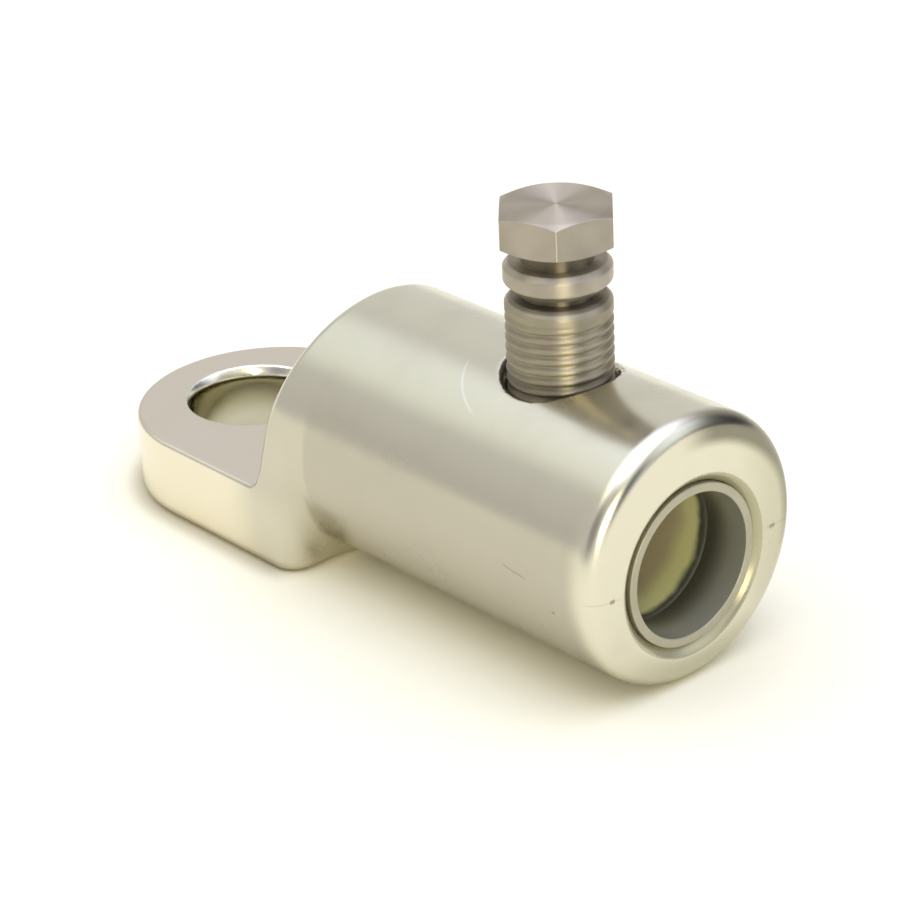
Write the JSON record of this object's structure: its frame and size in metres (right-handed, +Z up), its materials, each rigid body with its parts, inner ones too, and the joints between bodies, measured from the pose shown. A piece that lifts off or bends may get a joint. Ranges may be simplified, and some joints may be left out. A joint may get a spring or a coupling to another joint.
{
  "type": "mechanical lug",
  "caption": "Tinned cable lug: a round barrel with a stepped shear bolt that clamps the conductor in its bore, and a flat palm with a stud hole.",
  "frame": {"origin": "axis of the palm's stud hole, on the palm's underside", "axes": "+X along the barrel and out of the conductor bore's mouth, +Z up along the bolt, away from the palm's underside, +Y across the palm"},
  "size_m": [0.0733, 0.0266, 0.0417],
  "materials": {
    "tinned_body": "satin tin plate over forged aluminium, milled on the palm's upper face",
    "ring_metal": "satin",
    "bolt_metal": "turned and tin-plated"
  },
  "bodies": {
    "lug": {"lug_body": "tinned_body", "centring_ring": "ring_metal"},
    "bolt": {"shear_bolt": "bolt_metal"}
  },
  "joints": [
    {"name": "bolt_feed", "type": "slide", "parent": "lug", "child": "bolt", "axis": [0, 0, 1], "range_m": [-0.007, 0.002]}
  ]
}
